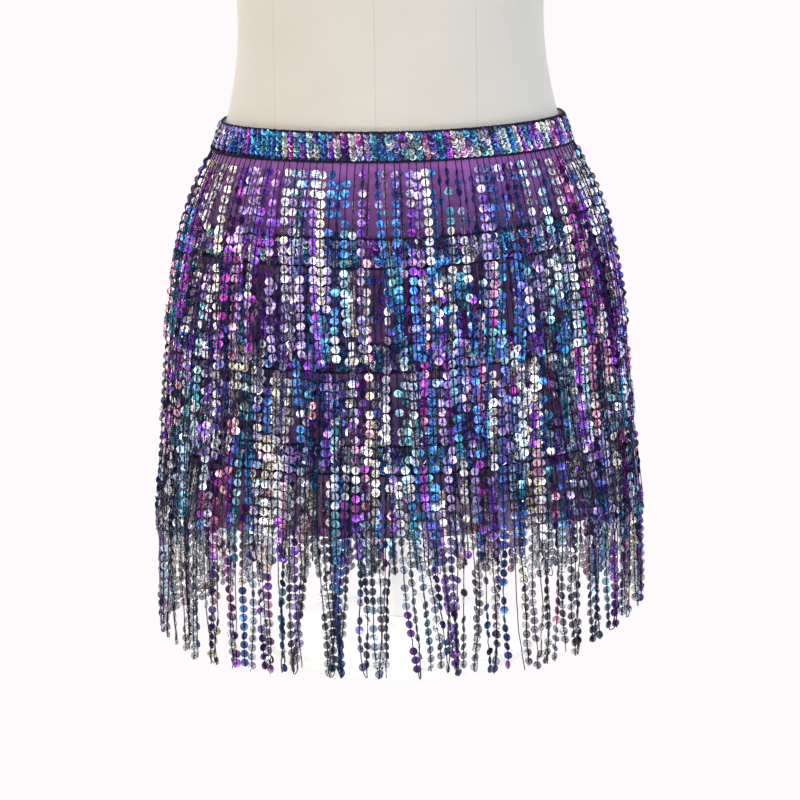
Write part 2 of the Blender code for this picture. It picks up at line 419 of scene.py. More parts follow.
@dataclass(frozen=True)
class Cloth:
    """Woven or knitted cloth: its colour, its thread pitch and how far the weave stands up, with painted
    shade and paler painted patches low down where asked.
    """

    name: str
    colour: tuple[float, float, float]
    shadow: tuple[float, float, float]
    pitch: float
    uneven: float
    relief: float
    sheen: float
    roughness: float = 0.8
    # Painted shade: a darker colour below a height, where the fringe above shades the cloth.
    painted_shade: tuple[float, float, float] = srgb(44, 26, 66)
    painted_shade_below: float = 0.0
    # Painted light: a paler colour in patches below a height, where the white behind shows through the
    # sheer cloth.
    thin: tuple[float, float, float] = srgb(176, 156, 184)
    thin_below: float = 0.0

    def make(self, weave: bpy.types.NodeTree) -> bpy.types.Material:
        """Makes the material.

        Args:
            weave: The shared weave group.

        Returns:
            The material.
        """
        material, graph = new_material(self.name)
        cross = add_group(graph, weave, Pitch=self.pitch, Uneven=self.uneven).outputs
        place = graph.place()
        height = graph.add("SeparateXYZ", Vector=place).outputs[2]
        patches = graph.noise(place, 14.0, 5.0)
        tint = graph.blend("MIX", patches, (*self.shadow, 1.0), (*self.colour, 1.0))
        # Painted shade below a height, where the fringe above shades the cloth.
        if self.painted_shade_below:
            low, high = self.painted_shade_below - 12 * MM, self.painted_shade_below + 40 * MM
            tint = graph.blend("MIX", graph.ramp(height, low, high, 0.8, 0.0), tint, (*self.painted_shade, 1.0))
        # Painted light: paler patches below a height, where the white behind shows through the sheer
        # cloth.
        if self.thin_below:
            patchy = graph.ramp(graph.noise(place, 9.0, 1.0), 0.44, 0.56, 0.08, 0.75)
            below = graph.ramp(height, self.thin_below - 4 * MM, self.thin_below, 1.0, 0.0)
            tint = graph.blend("MIX", graph.math("MULTIPLY", patchy, below), tint, (*self.thin, 1.0))
        set_surface(
            graph,
            Base_Color=graph.blend("MULTIPLY", 0.5, tint, cross["Shade"]),
            Roughness=self.roughness,
            Sheen_Weight=self.sheen,
            Normal=graph.bump(0.5, self.relief, cross["Height"]),
        )
        return material


@dataclass(frozen=True)
class Paint:
    """Satin powder paint on the foot."""

    name: str
    colour: tuple[float, float, float]
    duller: float = 0.94

    def make(self) -> bpy.types.Material:
        """Makes the material.

        Returns:
            The material.
        """
        material, graph = new_material(self.name)
        place = graph.place()
        wear = graph.noise(place, 22.0, 6.0)
        dull = tuple(self.duller * c for c in self.colour)
        set_surface(
            graph,
            Base_Color=graph.blend("MIX", wear, (*dull, 1.0), (*self.colour, 1.0)),
            Roughness=graph.ramp(wear, 0.0, 1.0, 0.32, 0.48),
            Normal=graph.bump(0.25, 0.2 * MM, graph.noise(place, 900.0, 2.0)),
        )
        return material


def deselect_all() -> None:
    """Leaves nothing selected and no object active."""
    for thing in bpy.context.selected_objects:
        thing.select_set(False)
    bpy.context.view_layer.objects.active = None


def copy_of_node(node_name: str, piece_name: str) -> bpy.types.Object:
    """Copies a CAD node and merges its loose triangles into quads.

    Args:
        node_name: The node to copy.
        piece_name: The name of the copy.

    Returns:
        The copy, selected and active.
    """
    deselect_all()
    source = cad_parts[node_name]
    piece = bpy.data.objects.new(piece_name, source.data.copy())
    piece.data.name = piece_name
    bpy.context.scene.collection.objects.link(piece)
    piece.select_set(True)
    bpy.context.view_layer.objects.active = piece
    bpy.ops.object.mode_set(mode="EDIT")
    bpy.ops.mesh.select_all(action="SELECT")
    bpy.ops.mesh.remove_doubles(threshold=WELD)
    bpy.ops.mesh.tris_convert_to_quads(face_threshold=CREASE, shape_threshold=CREASE)
    bpy.ops.object.mode_set(mode="OBJECT")
    return piece


def refine(piece: bpy.types.Object, levels: int) -> None:
    """Rounds a piece with Subdivision Surface and applies it. Its rims keep their place.

    Args:
        piece: The piece, which has to be active.
        levels: How many times each face is divided.
    """
    work = bmesh.new()
    work.from_mesh(piece.data)
    held = work.edges.layers.float.get("crease_edge") or work.edges.layers.float.new("crease_edge")
    for edge in work.edges:
        if len(edge.link_faces) == 2 and edge.calc_face_angle() > CREASE:
            edge[held] = 1.0
    work.to_mesh(piece.data)
    work.free()
    smooth = piece.modifiers.new("round", "SUBSURF")
    smooth.levels = smooth.render_levels = levels
    bpy.ops.object.modifier_apply(modifier=smooth.name)
    piece.data.shade_smooth()
    piece.data.set_sharp_from_angle(angle=CREASE)


def mesh_piece(
    name: str, points: np.ndarray, corners: np.ndarray, tint: Optional[np.ndarray] = None
) -> bpy.types.Object:
    """Makes a piece from arrays whose faces all have the same number of corners.

    Args:
        name: The piece's name.
        points: The vertices, one row each.
        corners: The vertex numbers of each face, one row each.
        tint: A colour for each vertex with a fourth part, 0 at a sequin's hole and 1 at its rim.

    Returns:
        The new object.
    """
    mesh = bpy.data.meshes.new(name)
    mesh.vertices.add(len(points))
    mesh.vertices.foreach_set("co", points.astype(np.float32).ravel())
    mesh.loops.add(corners.size)
    mesh.loops.foreach_set("vertex_index", corners.astype(np.int32).ravel())
    mesh.polygons.add(len(corners))
    starts = np.arange(0, corners.size, corners.shape[1], dtype=np.int32)
    mesh.polygons.foreach_set("loop_start", starts)
    mesh.update(calc_edges=True)
    mesh.validate()
    if tint is not None:
        layer = mesh.color_attributes.new(name="tint", type="FLOAT_COLOR", domain="POINT")
        layer.data.foreach_set("color", tint.astype(np.float32).ravel())
    mesh.shade_smooth()
    piece = bpy.data.objects.new(name, mesh)
    bpy.context.scene.collection.objects.link(piece)
    return piece


def dress(piece: bpy.types.Object, material: bpy.types.Material) -> None:
    """Gives a piece its material and its body.

    Args:
        piece: The finished piece.
        material: Its material.
    """
    piece.data.materials.clear()
    piece.data.materials.append(material)
    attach(piece, "root")
    LOG.info("%s: %d faces", piece.name, len(piece.data.polygons))


def round_angles(points: np.ndarray) -> np.ndarray:
    """The points' angles round the upright axis, from the front towards +X, 0 to a full turn."""
    return np.arctan2(points[:, 0], -points[:, 1]) % FULL_TURN


def node_points(node_name: str) -> np.ndarray:
    """The vertices of a CAD node.

    Args:
        node_name: The node.

    Returns:
        The points, one row each.
    """
    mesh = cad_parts[node_name].data
    flat = np.empty(3 * len(mesh.vertices))
    mesh.vertices.foreach_get("co", flat)
    return flat.reshape(-1, 3)


@dataclass
class Drape:
    """The outside of the cloth, as a grid of distances from the upright axis."""

    skin: bpy.types.Object
    rows: int = 120
    columns: int = 480
    heights: np.ndarray = field(init=False)
    reach: np.ndarray = field(init=False)
    hip_lengths: np.ndarray = field(init=False)

    def __post_init__(self) -> None:
        """Measures the cloth from outside, row by row."""
        tree = BVHTree.FromObject(self.skin, bpy.context.evaluated_depsgraph_get())
        zs = [v.co.z for v in self.skin.data.vertices]
        margin = 2 * MM
        self.heights = np.linspace(min(zs) + margin, max(zs) - margin, self.rows)
        self.reach = np.zeros((self.rows, self.columns))
        far = 1.0
        for j in range(self.columns):
            angle = FULL_TURN * j / self.columns
            out = Vector((math.sin(angle), -math.cos(angle), 0.0))
            for i, height in enumerate(self.heights):
                start = out * far + Vector((0.0, 0.0, height))
                hit = tree.ray_cast(start, -out)[0]
                if hit is not None and hit.dot(out) > 0:
                    self.reach[i, j] = math.hypot(hit.x, hit.y)
                elif i:
                    self.reach[i, j] = self.reach[i - 1, j]
        angles = np.linspace(0.0, FULL_TURN, self.columns + 1)
        ring = self.place(angles, np.full_like(angles, self.heights[0]), 0.0)[0]
        steps = np.linalg.norm(np.diff(ring, axis=0), axis=1)
        self.hip_lengths = np.concatenate([[0.0], np.cumsum(steps)])

    def distance(self, angles: np.ndarray, heights: np.ndarray) -> np.ndarray:
        """The cloth's distance from the axis; below the hem it is that of the hem.

        Args:
            angles: Angles round the axis.
            heights: Heights, of the same shape.

        Returns:
            The distances, of the same shape.
        """
        span = self.heights[-1] - self.heights[0]
        row = np.clip((heights - self.heights[0]) / span * (self.rows - 1), 0, self.rows - 1.001)
        column = (angles % FULL_TURN) / FULL_TURN * self.columns
        i, j = row.astype(int), column.astype(int) % self.columns
        up, side = row - i, column - np.floor(column)
        after = (j + 1) % self.columns
        lower = self.reach[i, j] * (1 - side) + self.reach[i, after] * side
        upper = self.reach[i + 1, j] * (1 - side) + self.reach[i + 1, after] * side
        return lower * (1 - up) + upper * up

    def place(
        self, angles: np.ndarray, heights: np.ndarray, out: object
    ) -> tuple[np.ndarray, np.ndarray, np.ndarray]:
        """Points off the cloth.

        Args:
            angles: Angles round the axis.
            heights: Heights, of the same shape.
            out: How far the points stand off the cloth, one value or many.

        Returns:
            The points, the level outward directions, and the level directions towards +angle.
        """
        step = 0.02
        reach = self.distance(angles, heights)
        after, before = (self.distance(angles + turn, heights) for turn in (step, -step))
        slope = (after - before) / (2 * step)
        sine, cosine = np.sin(angles), np.cos(angles)
        along = np.stack(
            [slope * sine + reach * cosine, -slope * cosine + reach * sine, np.zeros_like(reach)], -1
        )
        along /= np.linalg.norm(along, axis=-1, keepdims=True)
        outward = np.stack([along[..., 1], -along[..., 0], np.zeros_like(reach)], -1)
        ground = np.stack([reach * sine, -reach * cosine, heights], -1)
        return ground + outward * np.asarray(out)[..., None], outward, along

    def beside(
        self, angle: float, side: np.ndarray, heights: np.ndarray, out: object
    ) -> tuple[np.ndarray, np.ndarray, np.ndarray]:
        """Points off the cloth as place gives them, at lengths sideways of one angle."""
        reach = self.distance(np.full_like(heights, angle), heights)
        return self.place(angle + side / reach, heights, out)

    def spaced(self, shares: np.ndarray) -> np.ndarray:
        """The angles at shares of the length round the hem, each 0 to 1."""
        angles = np.linspace(0.0, FULL_TURN, self.columns + 1)
        return np.interp((shares % 1.0) * self.hip_lengths[-1], self.hip_lengths, angles)

    @property
    def round(self) -> float:
        """The length round the hem."""
        return float(self.hip_lengths[-1])


@dataclass
class TapeLine:
    """Where a tape's two edges run, read from its solid."""

    node: str
    apart: float = 0.02
    angles: np.ndarray = field(init=False)
    tops: np.ndarray = field(init=False)
    bottoms: np.ndarray = field(init=False)

    def __post_init__(self) -> None:
        """Gathers the solid's points by angle and keeps the highest and lowest of each."""
        points = node_points(self.node)
        angles = round_angles(points)
        order = np.argsort(angles)
        gaps = np.diff(angles[order])
        groups = np.split(order, np.where(gaps > self.apart)[0] + 1)
        past_front = angles[groups[0][0]] + FULL_TURN - angles[groups[-1][-1]]
        if len(groups) > 1 and past_front < self.apart:
            groups[0] = np.concatenate([groups.pop(), groups[0]])
        middles = [np.arctan2(points[g, 0].mean(), -points[g, 1].mean()) % FULL_TURN for g in groups]
        tidy = np.argsort(middles)
        self.angles = np.array(middles)[tidy]
        self.tops = np.array([points[g, 2].max() for g in groups])[tidy]
        self.bottoms = np.array([points[g, 2].min() for g in groups])[tidy]

    def top(self, angles: np.ndarray) -> np.ndarray:
        """The height of the top edge at those angles."""
        return np.interp(angles % FULL_TURN, self.angles, self.tops, period=FULL_TURN)

    def bottom(self, angles: np.ndarray) -> np.ndarray:
        """The height of the bottom edge at those angles."""
        return np.interp(angles % FULL_TURN, self.angles, self.bottoms, period=FULL_TURN)

    def length(self, drape: Drape, out: float) -> float:
        """The length round the tape's bottom edge.

        Args:
            drape: The outside of the cloth.
            out: How far off the cloth it is measured.

        Returns:
            The length in metres.
        """
        angles = np.linspace(0.0, FULL_TURN, 361)
        ring = drape.place(angles, self.bottom(angles), out)[0]
        return float(np.linalg.norm(np.diff(ring, axis=0), axis=1).sum())


@dataclass
class Sequin:
    """One thin cup of film, closed all round, modelled once and strung many times."""

    radius: float
    cup: float
    film: float
    sides: int
    points: np.ndarray = field(init=False)
    corners: np.ndarray = field(init=False)
    rim: np.ndarray = field(init=False)

    def __post_init__(self) -> None:
        """Models the cup from a cone: its flat base is pushed in until only film is left."""
        deselect_all()
        bpy.ops.mesh.primitive_cone_add(
            vertices=self.sides, radius1=self.radius, radius2=0.0, depth=self.cup, end_fill_type="TRIFAN"
        )
        cup = bpy.context.active_object
        bpy.ops.object.mode_set(mode="EDIT")
        bpy.ops.mesh.select_all(action="DESELECT")
        work = bmesh.from_edit_mesh(cup.data)
        base = -self.cup / 2
        for vert in work.verts:
            vert.select = vert.co.z < base + self.film and vert.co.xy.length < self.radius / 2
        bmesh.update_edit_mesh(cup.data)
        bpy.ops.transform.translate(value=(0.0, 0.0, self.cup - self.film))
        bpy.ops.mesh.select_all(action="SELECT")
        bpy.ops.mesh.quads_convert_to_tris()
        bpy.ops.object.mode_set(mode="OBJECT")
        mesh = cup.data
        places = np.array([tuple(v.co) for v in mesh.vertices])
        places[:, 2] = -places[:, 2] - self.cup / 2
        self.points = places
        self.corners = np.array([tuple(reversed(p.vertices)) for p in mesh.polygons])
        self.rim = np.hypot(places[:, 0], places[:, 1]) > self.radius / 2
        bpy.data.objects.remove(cup, do_unlink=True)

    def string(
        self,
        name: str,
        centres: np.ndarray,
        faces: np.ndarray,
        ups: np.ndarray,
        left_tints: np.ndarray,
        right_tints: np.ndarray,
        sizes: Optional[np.ndarray] = None,
    ) -> bpy.types.Object:
        """Makes one piece of many cups.

        Args:
            name: The piece's name.
            centres: Each cup's centre.
            faces: The direction that each cup's hollow faces.
            ups: Each cup's own upward direction.
            left_tints: The colour of each cup's left half.
            right_tints: The colour of each cup's right half.
            sizes: Each cup's size beside the plain one, or None.

        Returns:
            The new piece.
        """
        sides = np.cross(ups, faces)
        sides /= np.linalg.norm(sides, axis=1, keepdims=True)
        ups = np.cross(faces, sides)
        scale = np.ones(len(centres)) if sizes is None else sizes
        local = self.points[None, :, :] * scale[:, None, None]
        points = (
            centres[:, None, :]
            + local[:, :, 0:1] * sides[:, None, :]
            + local[:, :, 1:2] * ups[:, None, :]
            + local[:, :, 2:3] * faces[:, None, :]
        )
        # The halves' colours meet across the middle; their difference in brightness is painted
        # reflection.
        share = np.clip(0.5 + 2.5 * self.points[:, 0] / self.radius, 0.0, 1.0)[None, :, None]
        tint = left_tints[:, None, :] * (1 - share) + right_tints[:, None, :] * share
        reach = np.tile(self.rim.astype(float), len(centres))[:, None]
        count = len(self.points)
        offsets = np.arange(len(centres))[:, None, None] * count
        corners = (self.corners[None, :, :] + offsets).reshape(-1, 3)
        shades = np.concatenate([tint.reshape(-1, 3), reach], axis=1)
        piece = mesh_piece(name, points.reshape(-1, 3), corners, shades)
        self.crease_rims(piece.data, count)
        return piece

    def crease_rims(self, mesh: bpy.types.Mesh, count: int) -> None:
        """Marks every rim as sharp, so that each side of the film shades on its own.

        Args:
            mesh: The mesh of many cups.
            count: How many vertices one cup has.
        """
        ends = np.empty(2 * len(mesh.edges), dtype=np.int32)
        mesh.edges.foreach_get("vertices", ends)
        on_rim = self.rim[ends % count].reshape(-1, 2).all(axis=1)
        layer = mesh.attributes.get("sharp_edge") or mesh.attributes.new("sharp_edge", "BOOLEAN", "EDGE")
        layer.data.foreach_set("value", on_rim)


def ply_rings(
    centres: np.ndarray, outward: np.ndarray, radius: float, sides: int, closed: bool
) -> np.ndarray:
    """Rings of points round a path, square to it.

    Args:
        centres: The path's points.
        outward: A direction at each point that the path never follows.
        radius: The rings' radius.
        sides: How many points a ring has.
        closed: Whether the path is a loop.

    Returns:
        The rings' points, ring by ring.
    """
    if closed:
        course = np.roll(centres, -1, axis=0) - np.roll(centres, 1, axis=0)
    else:
        course = np.gradient(centres, axis=0)
    across = np.cross(course, outward)
    across /= np.linalg.norm(across, axis=1, keepdims=True)
    out = np.cross(across, course)
    out /= np.linalg.norm(out, axis=1, keepdims=True)
    turns = np.arange(sides) * FULL_TURN / sides
    cosines, sines = np.cos(turns)[None, :, None], np.sin(turns)[None, :, None]
    ring = cosines * out[:, None, :] + sines * across[:, None, :]
    return (centres[:, None, :] + radius * ring).reshape(-1, 3)


def ring_faces(rings: int, sides: int, closed: bool) -> np.ndarray:
    """The triangles between rings of points, with both ends shut where the path is open.

    Args:
        rings: How many rings there are.
        sides: How many points a ring has.
        closed: Whether the last ring is joined to the first.

    Returns:
        Three vertex numbers a row.
    """
    last = rings if closed else rings - 1
    i, k = np.meshgrid(np.arange(last), np.arange(sides), indexing="ij")
    near, far = i * sides, (i + 1) % rings * sides
    after = (k + 1) % sides
    a, b, c, d = near + k, far + k, far + after, near + after
    faces = np.concatenate([np.stack(three, -1).reshape(-1, 3) for three in ((a, b, c), (a, c, d))])
    if not closed:
        fan = np.arange(1, sides - 1)
        first = np.stack([np.zeros_like(fan), fan, fan + 1], -1)
        end = np.stack([np.zeros_like(fan), fan + 1, fan], -1) + (rings - 1) * sides
        faces = np.concatenate([faces, first, end])
    return faces


class Threads:
    """Many thin tubes gathered into one piece."""

    def __init__(self, radius: float, sides: int) -> None:
        """Starts with no tube.

        Args:
            radius: The tubes' radius.
            sides: How many sides a tube has.
        """
        self.radius = radius
        self.sides = sides
        self.points: list[np.ndarray] = []
        self.faces: list[np.ndarray] = []
        self.count = 0

    def lay(self, centres: np.ndarray, outward: np.ndarray, closed: bool = False) -> None:
        """Adds one tube.

        Args:
            centres: The path's points.
            outward: A direction at each point that the path never follows.
            closed: Whether the path is a loop.
        """
        self.points.append(ply_rings(centres, outward, self.radius, self.sides, closed))
        self.faces.append(ring_faces(len(centres), self.sides, closed) + self.count)
        self.count += len(centres) * self.sides

    def piece(self, name: str) -> bpy.types.Object:
        """Makes the piece and turns its faces outwards.

        Args:
            name: The piece's name.

        Returns:
            The new object.
        """
        made = mesh_piece(name, np.concatenate(self.points), np.concatenate(self.faces))
        work = bmesh.new()
        work.from_mesh(made.data)
        bmesh.ops.recalc_face_normals(work, faces=work.faces)
        work.to_mesh(made.data)
        work.free()
        return made


@dataclass
class Finishes:
    """Every material, made once."""

    glitter: bpy.types.NodeTree = field(default_factory=glitter_group)
    weave: bpy.types.NodeTree = field(default_factory=weave_group)

    def __post_init__(self) -> None:
        """Makes the materials."""
        self.strand_film = SequinFilm("strand_film", 0.9 * MM, 1.3, 0.12, 0.17).make(self.glitter)
        self.tape_film = SequinFilm("tape_film", 0.8 * MM, 1.5, 0.16, 0.0).make(self.glitter)
        self.thread = Yarn("navy_thread", srgb(22, 18, 40)).make()
        self.cord = Yarn("navy_cord", srgb(16, 14, 34)).make()
        self.mesh = Cloth(
            "stretch_mesh",
            srgb(146, 82, 162),
            srgb(116, 65, 139),
            0.9 * MM,
            0.5,
            0.2 * MM,
            0.2,
            # Painted shade below the second tape's top, where the fringe shades the mesh.
            painted_shade_below=float(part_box("tier2_tape")[1][2]),
            # Paler patches painted below the form, where the white behind shows through the mesh.
            thin_below=float(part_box("hip_form")[0][2]),
        ).make(self.weave)
        self.linen = Cloth(
            "form_linen", srgb(183, 178, 172), srgb(173, 167, 159), 0.7 * MM, 0.3, 0.1 * MM, 0.1
        ).make(self.weave)
        self.seam = Cloth(
            "form_seam", srgb(165, 159, 152), srgb(155, 148, 141), 0.7 * MM, 0.3, 0.1 * MM, 0.1
        ).make(self.weave)
        self.tape_ground = Cloth(
            "tape_ground", srgb(44, 34, 72), srgb(28, 22, 50), 0.6 * MM, 0.4, 0.1 * MM, 0.1
        ).make(self.weave)
        self.paint = Paint("foot_paint", srgb(244, 243, 241)).make()


@dataclass
class HipForm:
    """The linen-covered form with its panel seams, and its foot."""

    finishes: Finishes
    centre_front: float = -12 * MM
    panel: float = 74 * MM
    seam_radius: float = 0.35 * MM
    seam_sink: float = 0.22 * MM

    def build(self) -> None:
        """Builds the form, its seams and the foot."""
        form = copy_of_node("hip_form", "hip_form_cover")
        self.merge_ends(form)
        refine(form, 2)
        dress(form, self.finishes.linen)
        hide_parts("hip_form")
        self.sew_seams(form)
        for name in ("form_socket", "stand_pole", "stand_base"):
            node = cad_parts[name]
            node.data.materials.clear()
            node.data.materials.append(self.finishes.paint)

    def merge_ends(self, form: bpy.types.Object) -> None:
        """Makes one face of each flat end.

        Args:
            form: The form's copy.
        """
        bpy.ops.object.mode_set(mode="EDIT")
        bpy.ops.mesh.select_all(action="DESELECT")
        work = bmesh.from_edit_mesh(form.data)
        for face in work.faces:
            face.select = abs(face.normal.z) > 0.999
        bmesh.update_edit_mesh(form.data)
        bpy.ops.mesh.dissolve_limited(angle_limit=math.radians(1))
        bpy.ops.object.mode_set(mode="OBJECT")

    def sew_seams(self, form: bpy.types.Object) -> None:
        """Lays the panel seams down the form.

        Args:
            form: The finished form.
        """
        tree = BVHTree.FromObject(form, bpy.context.evaluated_depsgraph_get())
        low, high = (corner[2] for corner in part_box("hip_form"))
        heights = np.linspace(high - 7 * MM, low + 30 * MM, 70)
        seams = Threads(self.seam_radius, 6)
        fronts = [self.centre_front + k * self.panel for k in (-1, 0, 1)]
        for side in (-1.0, 1.0):
            for x in fronts:
                path = [
                    tree.ray_cast(Vector((x, side, z)), Vector((0.0, -side, 0.0))) for z in heights
                ]
                points = np.array([tuple(hit[0]) for hit in path])
                normals = np.array([tuple(hit[1]) for hit in path])
                seams.lay(points - normals * self.seam_sink, normals)
        piece = seams.piece("hip_form_seams")
        dress(piece, self.finishes.seam)


@dataclass
class SkirtCloth:
    """The purple stretch mesh tube."""

    finishes: Finishes
    piece: bpy.types.Object = field(init=False)

    def build(self) -> Drape:
        """Builds the cloth.

        Returns:
            The measured outside of the cloth.
        """
        self.piece = copy_of_node("skirt_cloth", "skirt_mesh")
        refine(self.piece, 2)
        dress(self.piece, self.finishes.mesh)
        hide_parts("skirt_cloth")
        return Drape(self.piece)


@dataclass(frozen=True)
class DyeAndSheen:
    """How the film's colours run along a strand, and the painted reflection on a sequin's halves.

    The drift is how far the dye moves from one sequin to the next, the jump is how often it goes to
    a new colour, and the leap is how often a strand starts afresh. The halves lie apart along the
    dye, and differ in brightness by the contrast, about a level set by the light: a painted
    reflection, as if one half caught the lamps and the other did not. The pale film is used so much
    more than usual.
    """

    drift: float
    jump: float
    leap: float
    apart: float
    contrast: float
    light: float
    pale: float = 1.0


TAPE_DYE_AND_SHEEN = DyeAndSheen(drift=0.035, jump=0.05, leap=0.92, apart=0.035, contrast=0.5, light=0.36, pale=0.35)
STRAND_DYE_AND_SHEEN = DyeAndSheen(drift=0.022, jump=0.07, leap=0.6, apart=0.025, contrast=0.34, light=0.08)
TWIN_LEAP = 0.16


class ColourRuns:
    """Film colours that drift along a strand as the dye does, with a jump now and then."""

    def __init__(self, seed: int, dye: DyeAndSheen) -> None:
        """Starts the draws.

        Args:
            seed: The seed of the draws.
            dye: How the colours run, and the painted reflection on the halves.
        """
        self.draw = np.random.default_rng(seed)
        self.dye = dye
        shares = np.array([film.share * (dye.pale if film.pale else 1.0) for film in Film])
        ends = np.cumsum(shares / shares.sum())
        starts = ends - shares / shares.sum()
        tints = np.array([film.tint for film in Film])
        self.stops = np.stack([starts * 0.8 + ends * 0.2, starts * 0.2 + ends * 0.8], -1).ravel()
        self.tints = np.repeat(tints, 2, axis=0)
        self.place = self.draw.random()

    def film(self, places: np.ndarray) -> np.ndarray:
        """The colours at places along the dyed film, which are shares of one round of the dye."""
        channels = (np.interp(places % 1.0, self.stops, tints, period=1.0) for tints in self.tints.T)
        return np.stack(list(channels), -1)

    def run(self, count: int, leap: float) -> np.ndarray:
        """Places along the dye for one strand.

        Args:
            count: How many sequins the strand has.
            leap: How often its first colour has nothing to do with the strand before it.

        Returns:
            A place for each sequin.
        """
        new = self.draw.random() < leap
        self.place = self.draw.random() if new else self.place + self.draw.normal(0.0, 0.06)
        steps = self.draw.normal(0.0, self.dye.drift, count)
        jumps = self.draw.random(count) < self.dye.jump
        steps[jumps] = self.draw.uniform(0.0, 1.0, jumps.sum())
        return self.place + np.cumsum(steps)

    def halves(self, places: np.ndarray) -> tuple[np.ndarray, np.ndarray]:
        """The two halves of each sequin, which differ a little in hue, and in brightness as a painted
        reflection.

        Args:
            places: Places along the dye.

        Returns:
            The left and the right halves' colours.
        """
        tints = []
        for _ in range(2):
            # Painted reflection: each half is made lighter or darker by a draw of its own, as if it
            # caught the light or not.
            value = np.exp(self.draw.normal(self.dye.light, self.dye.contrast, (len(places), 1)))
            shift = self.draw.normal(0.0, self.dye.apart, len(places))
            tints.append(np.clip(self.film(places + shift) * value, 0.0, 1.0))
        return tints[0], tints[1]


